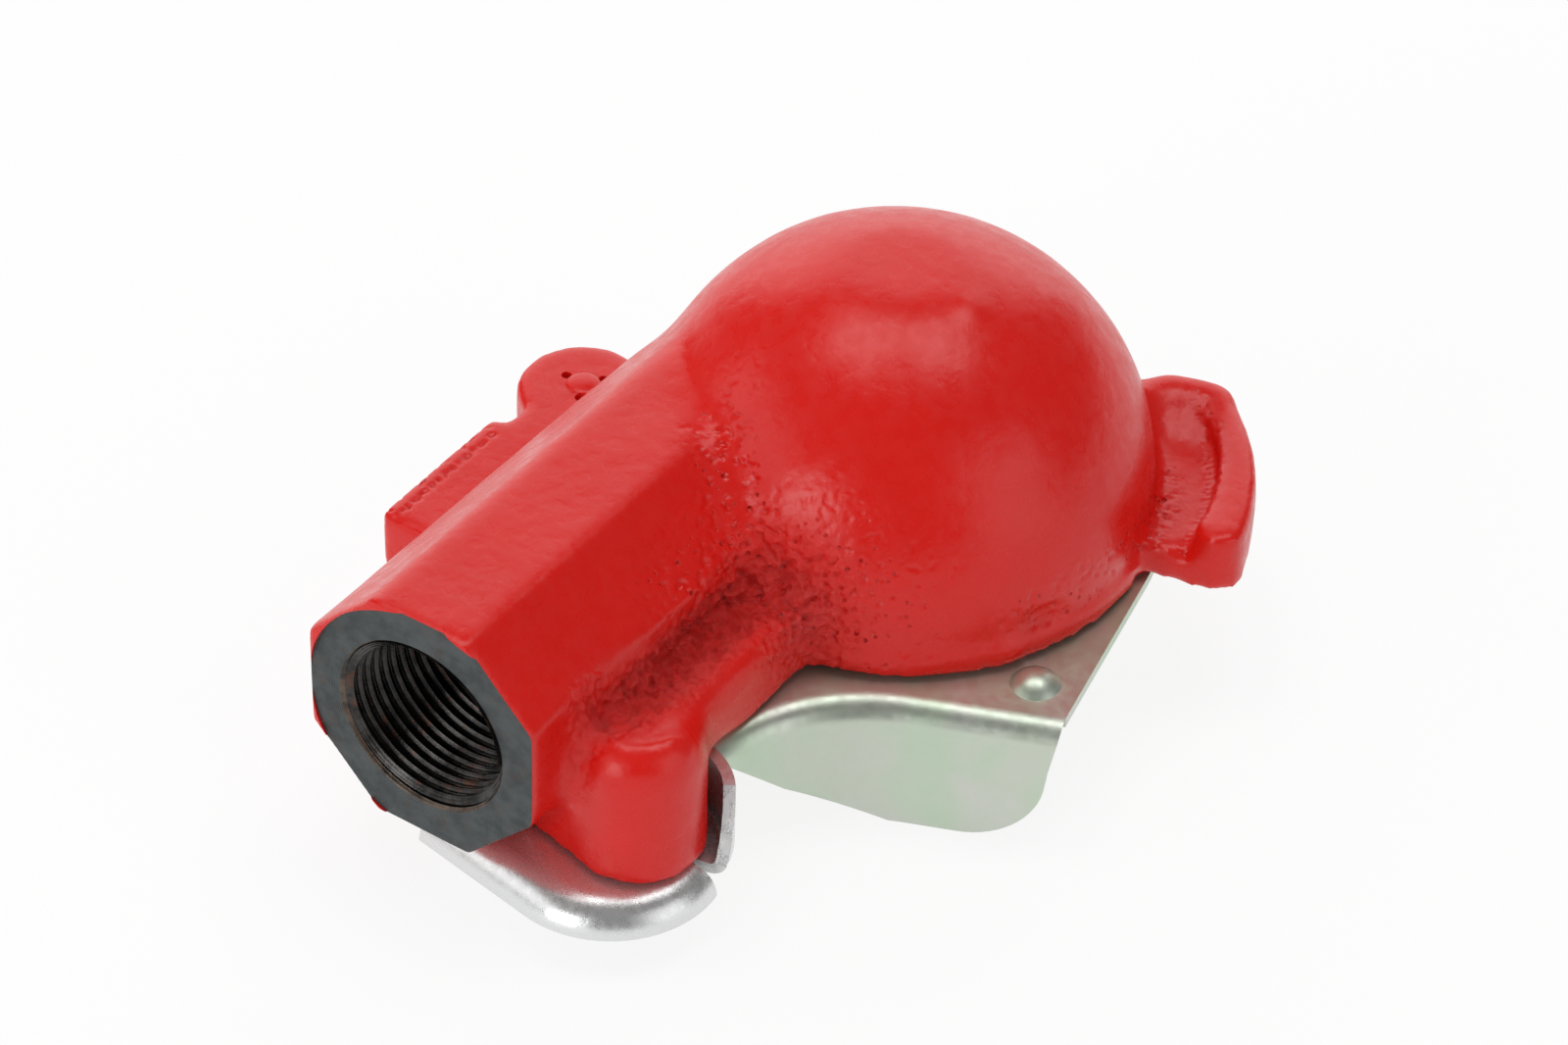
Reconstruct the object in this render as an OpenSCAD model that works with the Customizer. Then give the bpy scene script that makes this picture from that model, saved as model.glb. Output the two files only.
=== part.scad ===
// Palm coupling head for a trailer air line: a cast body with a swinging dust cover.
// Millimetres. The origin is the centre of the coupling face, +Z points to the dome and
// the neck with its port points along -Y.

/* [Neck and port] */
// Width across the flats of the eight-sided neck
neck_af = 31.6; // [30:0.1:33]
// Distance from the dome axis to the cast end of the neck
neck_reach = 71.5; // [70:0.5:90]
// Sideways distance from the dome axis to the neck axis
neck_offset = 15.4; // [14:0.1:16]
// Height of the neck axis above the coupling face
neck_rise = 7.6; // [6.5:0.1:9]
// Radius of the port wall, the nominal radius of its thread
port_r = 11; // [9:0.1:12]
// Length of the port wall behind its mouth
port_depth = 18; // [12:0.5:24]
// Widening of the port at its mouth
port_chamfer = 0.4; // [0.2:0.1:1]
// Radius of the machined face round the port
spot_r = 15.6; // [14:0.1:16]
// Depth of the machined face below the cast end
spot_depth = 0.5; // [0.2:0.1:1]
// How far the machined face is off the neck axis, sideways
spot_shift = 0.8; // [0:0.1:1.5]
// Radius of the air passage from the port to the dome
passage_r = 6.5; // [4:0.1:7]
// Distance from the dome axis to the centre of the neck's round inner end
neck_end = 14; // [10:0.5:18]

/* [Dome and coupling face] */
// Radius of the dome
dome_r = 31; // [30:0.1:33]
// Height of the dome's centre above the coupling face
dome_rise = 5.3; // [4:0.1:7]
// Wall thickness of the dome
dome_wall = 5; // [4:0.1:6]
// Radius of the flat on top of the dome
apex_r = 7; // [4:0.1:10]
// How far the skirt at the bottom of the dome stands proud
skirt_proud = 0.6; // [0.3:0.1:1]
// Height of the skirt
skirt_h = 2.8; // [2:0.1:4]

/* [Seal] */
// Radius of the seal's groove in the coupling face
seal_r = 19.5; // [17:0.1:20]
// Depth of the seal's groove
seal_depth = 4.5; // [4:0.1:5]
// How far the groove is undercut for the seal's flange
seal_flange = 1.3; // [0.8:0.1:1.5]
// Radius of the hole through the seal
seal_bore_r = 9; // [7:0.1:11]
// Thickness of the seat above the seal
seat_t = 2; // [1.5:0.1:3]
// How far the seal stands out of the coupling face
seal_proud = 0.2; // [0.1:0.05:0.25]
// Room left round the seal in its groove
seal_clear = 0.05; // [0.02:0.01:0.1]

/* [Claw] */
// Outer radius of the claw
claw_r = 42.8; // [41:0.1:45]
// Height of the channel floor above the coupling face
claw_floor = 4.5; // [3.5:0.1:6]
// Height of the claw's rim above the coupling face
claw_h = 8; // [7:0.1:9]
// Width of the claw's rim
rim_w = 4.2; // [3:0.1:5]
// Rounding of the channel and of the rim's top
claw_round = 1.4; // [0.5:0.1:2]
// Angle at which the claw starts, from +X
claw_start = 12.5; // [8:0.5:20]
// Angle that the claw covers
claw_sweep = 47.5; // [40:0.5:52]
// Rounding of the claw's near corner
claw_corner = 3.5; // [1:0.1:5]
// Distance from the dome axis to the claw's far end
claw_end = 27; // [25.5:0.1:29]
// Angle of the far end, from the X axis
claw_end_turn = 16; // [8:0.5:24]
// Width of the stop across the far end of the channel
stop_w = 3; // [2:0.1:4]
// Height of that stop above the coupling face
stop_h = 7; // [6:0.1:8]

/* [Hook guide and detent ear] */
// Distance from the dome axis to the guide's outer edge
guide_x = 41.9; // [41:0.1:45]
// Rounding of the guide's front corner
guide_round = 1.5; // [0.5:0.1:3]
// Distance from the dome axis to the guide's front edge
guide_front = 45; // [42:0.5:50]
// Distance from the dome axis to the guide's back edge
guide_back = 23; // [22:0.5:26]
// Height of the guide plate and the ear above the coupling face
guide_h = 8; // [7:0.1:10]
// Depth of the notch between the guide and the ear
notch_depth = 2; // [1:0.1:4]
// Thickness of the hook's lip
lip_h = 4.4; // [3:0.1:6]
// Inner radius of the hook's lip
lip_r = 36.6; // [35:0.1:38]
// Room for a coupled claw inside the hook
hook_clear = 0.6; // [0.3:0.1:1]
// Where the hook starts below the guide, from the dome axis
hook_front = 38; // [34:0.5:42]
// Where the hook ends, from the dome axis
hook_back = 14; // [12:0.5:18]
// Place of the ear's centre, sideways from the dome axis
ear_x = 36.7; // [35:0.1:38]
// Place of the ear's centre, towards the port from the dome axis
ear_y = 11.7; // [10:0.1:13]
// Radius of the ear
ear_r = 8; // [7:0.1:9]
// Radius of the detent ball
ball_r = 2.2; // [1.8:0.05:2.4]
// How far the ball stands out of the coupling face
ball_proud = 1; // [0.6:0.05:1.2]
// Room round the ball in its bore
ball_clear = 0.08; // [0.04:0.01:0.1]
// Radius of the staked plug above the ball
plug_r = 2.8; // [2.6:0.05:3.2]
// Thickness of the plug
plug_h = 1.4; // [1:0.1:2]
// How far the plug sits below the top of the ear
plug_sunk = 0.15; // [0.05:0.05:0.4]

/* [Pivot boss and rib] */
// Place of the pivot, sideways from the dome axis
pivot_x = 4.9; // [4.5:0.1:6]
// Place of the pivot, towards the port from the dome axis
pivot_y = 57.5; // [56:0.5:60]
// Radius of the boss
boss_r = 8; // [7:0.1:8.4]
// How far the boss stands below the neck
boss_pad = 0.3; // [0.1:0.1:1]
// Height of the boss above the coupling face
boss_h = 11.5; // [10:0.1:12.5]
// Rounding of the top of the boss
boss_round = 5; // [4:0.1:6]
// Width of the boss's foot where it runs under the neck
foot_w = 10; // [6:0.5:12]
// Distance from the dome axis to the rib's outer face
rib_x = 9; // [8:0.1:10]
// Height of the rib above the coupling face
rib_h = 9.5; // [8:0.1:10.5]
// Radius of the hollow between the rib and the neck
valley_r = 6; // [4:0.1:8]
// Depth of that hollow
valley_depth = 4; // [3:0.1:4.5]
// Distance from the pivot to the middle of that hollow's round end
valley_start = 1.5; // [1:0.5:4]

/* [Cover] */
// Thickness of the cover's sheet
sheet_t = 1.4; // [1:0.1:1.6]
// Gap between the coupling face and the cover
face_gap = 0.5; // [0.4:0.05:1]
// Radius of the cover's disc
disc_r = 32.2; // [31.5:0.1:32.6]
// Radius of the flat bottom of the pan in the disc
pan_r = 20.5; // [18:0.1:21]
// Depth of the pan
pan_depth = 2.1; // [1:0.1:3]
// Width of the pan's sloping side
pan_slope = 2.5; // [1.5:0.1:4]
// Room round the cover's disc, below the neck
face_room = 0.8; // [0.5:0.1:1.5]
// Angle of the thumb tab, from the X axis
tab_turn = 23; // [18:0.5:28]
// Distance from the dome axis to the tab's outer face
tab_dist = 35.2; // [34.5:0.1:37]
// Where the tab's right-hand end is, along the tab
tab_end = 26.7; // [24:0.1:30]
// Height of the tab, from the top of the sheet
tab_drop = 17.3; // [14:0.1:22]
// Height of the flange at the middle of the turn between the tab and the wall
turn_drop = 10.8; // [8:0.1:14]
// How far the tab's right-hand edge leans in
tab_lean = 1.5; // [0.5:0.1:3]
// Rounding of the tab's corner
tab_round = 10; // [5:0.1:11]
// Outer radius of the bends in the sheet
bend_r = 3; // [2:0.1:4]
// Distance from the dome axis to the flange's outer face at the wall
arm_x = 9.2; // [8.6:0.1:10]
// Height of the flange at the wall
arm_drop = 1.6; // [1.6:0.1:5]
// Distance from the dome axis to the arm's inner edge
arm_inner = 0.8; // [0.6:0.1:1.5]
// Gap between the boss and the wall round it
wall_gap = 1.5; // [1:0.1:2]
// Angle at which the wall starts above the pivot plate
wall_start = 12; // [10:0.5:25]
// Angle at which the wall has its full height
wall_high = 38; // [30:0.5:55]
// Angle at which the wall ends, at the neck
wall_end = 112; // [100:0.5:114]
// Gap between the boss and the pivot plate
plate_gap = 0.3; // [0.2:0.05:0.5]
// Outer radius of the fold between the wall and the pivot plate
fold_r = 2.2; // [1.8:0.1:2.6]
// Sideways place of the rolled rim's arc, from the pivot
rim_shift = 3.3; // [2:0.1:4]
// Place of the rolled rim's arc, towards the port from the pivot
rim_back = 0.8; // [0:0.1:1.5]
// Radius of the flat inside the rolled rim
rim_r = 9.4; // [8.5:0.1:11]
// Radius of the rolled rim
roll_r = 4; // [3:0.1:5]
// Length of the straight part of the rolled rim
rim_run = 17.5; // [14:0.5:22]
// Angle of the straight part of the rolled rim
rim_turn = 9.4; // [5:0.1:14]
// Angle at which the rolled rim ends
rim_end = 10; // [0:1:14]
// Place of the stop pip, sideways from the dome axis
pip_x = 31.1; // [30.8:0.1:32]
// Place of the stop pip, towards the port from the dome axis
pip_y = 16.3; // [16:0.1:18]
// Radius of the stop pip at its foot
pip_r = 3; // [2:0.1:3.2]
// Height of the stop pip
pip_h = 1.5; // [0.8:0.1:2]

/* [Pivot pin and spring] */
// Radius of the pivot pin
pin_r = 3; // [2.5:0.1:3.4]
// Length of the pin inside the boss
pin_depth = 11.5; // [8:0.5:14]
// Running clearance between the pin and the cover
pin_clear = 0.06; // [0.02:0.01:0.1]
// Radius of the pin's head
head_r = 5.4; // [4.5:0.1:6]
// Height of the pin's head
head_h = 1.6; // [1:0.1:2]
// Outer radius of the washer
washer_r = 6.6; // [6:0.1:8]
// Thickness of the washer
washer_t = 1; // [0.6:0.1:1.6]
// Mean radius of the cover spring
coil_r = 4.6; // [4.3:0.1:5.2]
// Radius of the cover spring's wire
wire_r = 0.6; // [0.4:0.05:0.7]
// Turns in the cover spring
coil_turns = 2.5; // [1.5:1:2.5]
// Gap between the turns of the cover spring
coil_gap = 0.1; // [0.05:0.05:0.3]
// Gap at each end of the cover spring
spring_gap = 0.15; // [0.05:0.05:0.3]
// Radius of the detent spring's wire
small_wire_r = 0.25; // [0.15:0.05:0.3]
// Mean radius of the detent spring
small_r = 1.25; // [1:0.05:1.4]
// Turns in the detent spring
small_turns = 3; // [2:0.5:3]

/* [Hidden] */
$fn = 96;

// Overlap that joins two shapes, and reach of a cut past a surface
join = 0.5;
sides = 8;
octagon_turn = 180 / sides;
corner_reach = neck_af / 2 / cos(octagon_turn);
neck_bottom = neck_rise - neck_af / 2;
neck_left = neck_offset + neck_af / 2;

dome_top = dome_rise + sqrt(pow(dome_r, 2) - pow(apex_r, 2));
skirt_r = dome_r + skirt_proud;
cavity_r = dome_r - dome_wall;
cavity_floor = seal_depth + seat_t;
relief_r = disc_r + face_room;

slot_r = claw_r + hook_clear;
slot_h = claw_h + hook_clear;
hook_bottom = -slot_h - lip_h;

boss_bottom = neck_bottom - boss_pad;
ball_z = ball_r - ball_proud;
plug_top = guide_h - plug_sunk;
plug_bottom = plug_top - plug_h;

cover_top = -face_gap;
plate_top = boss_bottom - plate_gap;
plate_bottom = plate_top - sheet_t;
wall_r = boss_r + wall_gap;
tab_flat = tab_dist - bend_r;
arm_flat = arm_x - bend_r;
arm_end_y = pivot_y - sqrt(pow(wall_r + sheet_t, 2) - pow(arm_x - pivot_x, 2));

// The turn between the tab and the wall: its end is inside the wall, and the tab starts at its start
corner_y = arm_end_y + join;
corner_r = (corner_y * cos(tab_turn) + arm_x * sin(tab_turn) - tab_dist) / (1 - sin(tab_turn));
corner = [arm_x + corner_r, -corner_y];
tab_start = corner * [cos(tab_turn), sin(tab_turn)];

coil_pitch = 2 * wire_r + coil_gap;
coil_top = plate_bottom - spring_gap - wire_r;
coil_bottom = coil_top - coil_turns * coil_pitch;
washer_top = coil_bottom - wire_r - spring_gap;
head_top = washer_top - washer_t;
pin_top = boss_bottom + pin_depth;

small_top = plug_bottom - small_wire_r - ball_clear;
small_bottom = ball_z + sqrt(pow(ball_r + small_wire_r + ball_clear, 2) - pow(small_r, 2));

paint = "firebrick";
zinc = "silver";
steel = "dimgray";
rubber = "black";

// Points in a full turn of a coil, and round its wire
turn_steps = 24;
wire_sides = 8;
small_sides = 6;

// Puts its children at the pivot
module at_pivot() translate([pivot_x, -pivot_y, 0]) children();

// Puts its children at the ear
module at_ear() translate([-ear_x, -ear_y, 0]) children();

// A rectangle with its two top corners rounded
module round_top(w, h, r) {
    square([w, h - r]);
    translate([r, 0]) square([w - 2 * r, h]);
    for (x = [r, w - r]) translate([x, h - r]) circle(r);
}

// Section of a sheet with its top at y = 0: flat up to x = 0, then round a bend and down
module bent_sheet(flat, r, drop) {
    intersection() {
        difference() {
            union() {
                translate([-flat, -r]) square([flat, r]);
                translate([0, -r]) circle(r);
                if (drop > r) translate([0, -drop]) square([r, drop - r]);
            }
            translate([-flat - join, -drop - join]) square([flat + join, drop + join - sheet_t]);
            translate([0, -r]) circle(r - sheet_t);
            if (drop > r) translate([-join, -drop - join]) square([r - sheet_t + join, drop + join - r]);
        }
        translate([-flat, -drop]) square([flat + r, drop]);
    }
}

// Direction from one point to another, as a unit vector
function unit(v) = v / norm(v);
function heading(path, i) =
    unit(path[min(i + 1, len(path) - 1)] - path[max(i - 1, 0)]);
function ring(path, i, r, n) =
    let (along = heading(path, i), side = unit(cross([0, 0, 1], along)), rise = cross(along, side))
    [for (k = [0:n - 1]) path[i] + r * (cos(360 * k / n) * side + sin(360 * k / n) * rise)];

// Round wire along a path
module wire(path, r, n = wire_sides) {
    rings = len(path);
    points = [for (i = [0:rings - 1]) each ring(path, i, r, n)];
    walls = [for (i = [0:rings - 2], k = [0:n - 1])
        [i * n + k, i * n + (k + 1) % n, (i + 1) * n + (k + 1) % n, (i + 1) * n + k]];
    first = [for (k = [n - 1:-1:0]) k];
    last = [for (k = [0:n - 1]) (rings - 1) * n + k];
    polyhedron(points, concat(walls, [first, last]), convexity = 10);
}

function coil(r, turns, bottom, top, steps = turn_steps) =
    [for (i = [0:turns * steps])
        let (a = 360 * i / steps)
        [r * cos(a), r * sin(a), bottom + (top - bottom) * i / (turns * steps)]];

module dome() {
    intersection() {
        translate([0, 0, dome_rise]) sphere(dome_r);
        cylinder(r = dome_r + join, h = dome_top);
    }
    cylinder(r = skirt_r, h = skirt_h);
}

module neck() {
    intersection() {
        translate([-neck_offset, -neck_reach, neck_rise])
            rotate([-90, 0, 0]) rotate(octagon_turn)
            cylinder(r = corner_reach, h = neck_reach + corner_reach, $fn = sides);
        union() {
            translate([-neck_offset, -neck_reach - join, neck_rise])
                rotate([-90, 0, 0])
                cylinder(r = corner_reach + 2 * join, h = neck_reach + join - neck_end);
            translate([-neck_offset, -neck_end, neck_rise]) sphere(corner_reach + join);
        }
    }
}

module claw_section() {
    inner = dome_r - dome_wall / 2;
    rim_inner = claw_r - rim_w;
    difference() {
        translate([inner, 0]) square([claw_r - inner, claw_floor + claw_round]);
        translate([inner - join, claw_floor])
            square([rim_inner - claw_round - inner + join, claw_h]);
        translate([rim_inner - claw_round, claw_floor + claw_round]) circle(claw_round);
        translate([rim_inner - claw_round - join, claw_floor + claw_round]) square(claw_round + join);
    }
    translate([rim_inner, 0]) round_top(rim_w, claw_h, claw_round);
}

// A slice of a disc, at most a quarter turn wide
module slice(start, end, r) {
    intersection() {
        circle(r);
        polygon([[0, 0], for (a = [start, (start + end) / 2, end]) 2 * r * [cos(a), sin(a)]]);
    }
}

// The claw seen from above: its near corner is rounded and its far end is cut off straight
module claw_plan() {
    centre_r = claw_r - claw_corner;
    turn = asin(claw_corner / centre_r);
    end = claw_start + claw_sweep;
    intersection() {
        union() {
            slice(claw_start, end, centre_r * cos(turn));
            slice(claw_start + turn, end, claw_r);
            rotate(claw_start + turn) translate([centre_r, 0]) circle(claw_corner);
        }
        rotate(claw_end_turn) translate([-claw_r, -claw_r]) square([2 * claw_r, claw_r + claw_end]);
    }
}

module claw() {
    intersection() {
        rotate_extrude() claw_section();
        linear_extrude(claw_h) claw_plan();
    }
    linear_extrude(stop_h) difference() {
        intersection() {
            claw_plan();
            rotate(claw_end_turn) translate([-claw_r, claw_end - stop_w]) square([2 * claw_r, stop_w]);
        }
        circle(dome_r - dome_wall / 2);
    }
}

module hook_guide() {
    width = guide_x - neck_left + claw_round;
    translate([-guide_x, -guide_front, 0]) linear_extrude(guide_h) difference() {
        square([width, guide_front - guide_back]);
        difference() {
            square(guide_round);
            translate([guide_round, guide_round]) circle(guide_round);
        }
    }
    translate([notch_depth - guide_x, -guide_back - join, 0])
        cube([width - notch_depth, guide_back - ear_y + join, guide_h]);
    difference() {
        translate([-guide_x, -hook_front, hook_bottom])
            cube([width, hook_front - hook_back, join - hook_bottom]);
        translate([0, 0, hook_bottom - join]) cylinder(r = lip_r, h = -hook_bottom + join);
        translate([0, 0, -slot_h]) cylinder(r = slot_r, h = slot_h);
    }
}

module ear() {
    linear_extrude(guide_h) {
        translate([-ear_x, -ear_y]) circle(ear_r);
        translate([-ear_x, -ear_y - ear_r])
            square([ear_x - cavity_r - join, 2 * ear_r]);
    }
}

module pivot_boss() {
    at_pivot() translate([0, 0, boss_bottom])
        rotate_extrude() intersection() {
            translate([-boss_r, 0]) round_top(2 * boss_r, boss_h - boss_bottom, boss_round);
            square([boss_r, boss_h - boss_bottom]);
        }
    half_side = neck_af / 2 * tan(octagon_turn);
    foot = [half_side - neck_offset, -pivot_y];
    translate([0, 0, boss_bottom]) linear_extrude(neck_rise - half_side - join - boss_bottom)
        polygon([[pivot_x, -pivot_y - boss_r], foot - [0, foot_w / 2],
                 foot + [0, foot_w / 2], [pivot_x, -pivot_y + boss_r]]);
}

// The boss, the rib to the dome and the hollow between them and the neck
module boss_and_rib() {
    neck_right = neck_af / 2 - neck_offset;
    difference() {
        union() {
            pivot_boss();
            translate([-rib_x / 2, -pivot_y, 0]) cube([rib_x * 3 / 2, pivot_y - cavity_r, rib_h]);
        }
        translate([(neck_right + rib_x) / 2 - claw_round, valley_start - pivot_y,
                   rib_h + valley_r - valley_depth]) {
            sphere(valley_r + join);
            rotate([-90, 0, 0]) cylinder(r = valley_r, h = pivot_y);
        }
    }
}

module seal_groove(room) {
    translate([0, 0, -join]) cylinder(r = seal_r + room, h = seal_depth + join);
    translate([0, 0, seal_depth / 2 - room])
        cylinder(r = seal_r + seal_flange + room, h = seal_depth / 2 + room);
}

module port() {
    translate([-neck_offset, -neck_reach, neck_rise]) rotate([-90, 0, 0]) {
        translate([spot_shift, spot_shift / 2, -join]) cylinder(r = spot_r, h = spot_depth + join);
        cylinder(r = port_r, h = spot_depth + port_depth);
        translate([0, 0, spot_depth]) cylinder(r1 = port_r + port_chamfer, r2 = port_r, h = port_chamfer);
        translate([0, 0, spot_depth + port_depth])
            cylinder(r1 = port_r, r2 = passage_r, h = port_r - passage_r);
        cylinder(r = passage_r, h = neck_reach - seal_r);
    }
}

module air_way() {
    intersection() {
        translate([0, 0, dome_rise]) sphere(cavity_r);
        translate([0, 0, cavity_floor]) cylinder(r = dome_r, h = dome_r + dome_rise);
    }
    cylinder(r = seal_bore_r + seal_flange, h = cavity_floor + join);
    seal_groove(0);
}

module detent_bore() {
    at_ear() {
        translate([0, 0, ball_z]) sphere(ball_r + ball_clear);
        translate([0, 0, ball_z]) cylinder(r = ball_r + ball_clear, h = guide_h);
        translate([0, 0, plug_bottom]) cylinder(r = plug_r, h = guide_h);
    }
}

module body() {
    color(paint) difference() {
        union() {
            dome();
            neck();
            claw();
            ear();
            boss_and_rib();
            hook_guide();
        }
        translate([0, 0, neck_bottom - join]) cylinder(r = relief_r, h = join - neck_bottom);
        air_way();
        port();
        detent_bore();
        at_pivot() translate([0, 0, boss_bottom - join]) cylinder(r = pin_r, h = pin_depth + join);
    }
}

module seal_ring() {
    color(rubber) difference() {
        intersection() {
            seal_groove(-seal_clear);
            translate([0, 0, -seal_proud])
                cylinder(r = seal_r + seal_flange, h = seal_proud + seal_depth - seal_clear);
        }
        translate([0, 0, -join]) cylinder(r = seal_bore_r, h = seal_depth + 2 * join);
    }
}

// A point of the sheet beside the tab: along it, and out from the dome axis
function tab_point(along, out) =
    [along * cos(tab_turn) + out * sin(tab_turn), along * sin(tab_turn) - out * cos(tab_turn)];

module cover_disc() {
    rotate_extrude() polygon([
        [0, cover_top - pan_depth], [pan_r, cover_top - pan_depth], [pan_r + pan_slope, cover_top],
        [disc_r, cover_top], [disc_r, cover_top - sheet_t], [pan_r + pan_slope, cover_top - sheet_t],
        [pan_r, cover_top - pan_depth - sheet_t], [0, cover_top - pan_depth - sheet_t]]);
}

// The flat outside the disc, with the arm to the wall
module cover_plate() {
    tip = tab_point(tab_end, tab_flat);
    touch = atan2(tip[1], tip[0]) + acos(disc_r / norm(tip));
    plate_r = (disc_r + pan_r) / 2;
    translate([0, 0, cover_top - sheet_t]) linear_extrude(sheet_t) difference() {
        polygon([[arm_inner, -plate_r], [arm_inner, corner[1]], [arm_flat, corner[1]],
                 tab_point(tab_start, tab_flat), tip,
                 disc_r * [cos(touch), sin(touch)], plate_r * [cos(touch), sin(touch)]]);
        translate(corner) circle(corner_r + bend_r);
        circle(plate_r + join);
        translate([pivot_x, -pivot_y]) circle(wall_r);
    }
}

// Side view of the tab, with its rounded corner
module tab_outline() {
    end = tab_end - tab_lean;
    polygon([[tab_start - join, join], [tab_end, join], [end, tab_round - tab_drop],
             [end - tab_round, -tab_drop], [tab_start - join, -tab_drop]]);
    translate([end - tab_round, tab_round - tab_drop]) circle(tab_round);
}

module tab_room() {
    translate([0, 0, cover_top]) rotate(tab_turn) translate([0, bend_r - tab_flat, 0])
        rotate([90, 0, 0]) linear_extrude(3 * bend_r) tab_outline();
}

// The space that holds the flange of the turn, which gets lower from the tab to the wall
module turn_room() {
    deep_y = tab_point(tab_start, tab_dist)[1];
    low_y = -arm_end_y;
    translate([arm_flat - bend_r, 0, cover_top]) rotate([90, 0, 90]) linear_extrude(corner_r)
        polygon([[deep_y + bend_r, join], [low_y - bend_r, join], [low_y - bend_r, -arm_drop],
                 [low_y, -arm_drop], [(deep_y + low_y) / 2, -turn_drop], [deep_y, -tab_drop - join],
                 [deep_y + bend_r, -tab_drop - join]]);
}

// The flange bent down from the plate: straight along the tab, then round the turn to the wall
module flange() {
    intersection() {
        translate([corner[0], corner[1], cover_top]) rotate(90 + tab_turn) {
            rotate_extrude(angle = 90 - tab_turn) flange_section();
            rotate([90, 0, 0]) linear_extrude(tab_end - tab_start) flange_section();
        }
        union() {
            tab_room();
            turn_room();
        }
    }
}

module flange_section() {
    translate([corner_r + bend_r, 0]) mirror([1, 0]) bent_sheet(join, bend_r, tab_drop);
}

// The wall round the boss, cut off on a slant at its right-hand end
module step_wall() {
    low = (wall_r + sheet_t) * [cos(wall_start), sin(wall_start)];
    high = (wall_r + sheet_t) * [cos(wall_high), sin(wall_high)];
    slant = atan2(high[1] - low[1], high[0] - low[0]);
    width = norm(high - low);
    rise = cover_top - plate_top;
    fold_at = wall_r + sheet_t - fold_r;
    at_pivot() difference() {
        rotate(wall_start) rotate_extrude(angle = wall_end - wall_start)
            translate([fold_at, plate_bottom]) mirror([0, 1])
            bent_sheet(fold_at - pin_r, fold_r, cover_top - plate_bottom);
        translate([low[0], low[1], plate_top]) rotate(slant) rotate([90, 0, 0])
            translate([0, 0, -wall_r]) linear_extrude(2 * wall_r)
            polygon([[-wall_r, 0], [0, 0], [width, rise], [width, rise + join], [-wall_r, rise + join]]);
    }
}

module pivot_plate() {
    at_pivot() translate([-rim_shift, -rim_back, 0]) {
        translate([0, 0, plate_bottom]) cylinder(r = rim_r, h = sheet_t);
        translate([0, 0, plate_top]) rotate(-90 - rim_turn) {
            rotate_extrude(angle = 90 + rim_turn + rim_end)
                translate([rim_r, 0]) bent_sheet(rim_r / 2, roll_r, roll_r);
            translate([rim_r, 0, 0]) rotate([90, 0, 0]) linear_extrude(rim_run)
                bent_sheet(rim_r + boss_r, roll_r, roll_r);
        }
    }
}

module cover() {
    pip_ball = (pow(pip_r, 2) + pow(pip_h, 2)) / (2 * pip_h);
    color(zinc) {
        cover_disc();
        difference() {
            union() {
                cover_plate();
                flange();
                intersection() {
                    translate([pip_x, -pip_y, cover_top + pip_h - pip_ball]) sphere(pip_ball);
                    translate([pip_x, -pip_y, cover_top - sheet_t]) cylinder(r = pip_r, h = sheet_t + pip_h);
                }
            }
            translate([pip_x, -pip_y, cover_top + pip_h - pip_ball]) sphere(pip_ball - sheet_t);
        }
        difference() {
            union() {
                step_wall();
                pivot_plate();
            }
            at_pivot() translate([0, 0, plate_bottom - join])
                cylinder(r = pin_r + pin_clear, h = sheet_t + 2 * join);
        }
    }
}

module pivot_pin() {
    color(steel) at_pivot() difference() {
        union() {
            translate([0, 0, head_top]) cylinder(r = pin_r, h = pin_top - head_top);
            translate([0, 0, head_top - head_h]) cylinder(r1 = head_r - head_h / 2, r2 = head_r, h = head_h);
        }
        translate([-head_r, 0, coil_bottom]) rotate([0, 90, 0])
            cylinder(r = wire_r + spring_gap, h = 2 * head_r);
    }
}

// The inner leg sits in the pin's cross hole and the outer leg bears on the inside of the rolled rim
module cover_spring() {
    inner_leg = [for (x = [0:1]) [x * (coil_r - 2 * wire_r), 0, coil_bottom]];
    turns = coil(coil_r, coil_turns, coil_bottom, coil_top);
    roll_inner = roll_r - sheet_t;
    roll_rise = coil_top + wire_r - plate_top + roll_r;
    leg_r = rim_r + sqrt(pow(roll_inner, 2) - pow(roll_rise, 2)) - wire_r - spring_gap;
    leg_end = rim_back + sqrt(pow(leg_r, 2) - pow(coil_r - rim_shift, 2));
    outer_leg = [for (y = [coil_r / 2, leg_end / 2, leg_end]) [-coil_r, -y, coil_top]];
    color(steel) at_pivot() wire(concat(inner_leg, turns, outer_leg), wire_r);
}

module spring_washer() {
    color(steel) at_pivot() translate([0, 0, head_top]) difference() {
        cylinder(r = washer_r, h = washer_t);
        translate([0, 0, -join]) cylinder(r = pin_r, h = washer_t + 2 * join);
    }
}

module detent_ball() {
    color(steel) at_ear() translate([0, 0, ball_z]) sphere(ball_r);
}

module detent_spring() {
    color(steel) at_ear() wire(coil(small_r, small_turns, small_bottom, small_top), small_wire_r, small_sides);
}

module detent_plug() {
    color(paint) at_ear() translate([0, 0, plug_bottom]) cylinder(r = plug_r, h = plug_h);
}

body();
seal_ring();
cover();
pivot_pin();
cover_spring();
spring_washer();
detent_ball();
detent_spring();
detent_plug();
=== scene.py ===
import math

import bmesh
import bpy
import numpy as np
from mathutils import Matrix, Vector, noise


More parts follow.
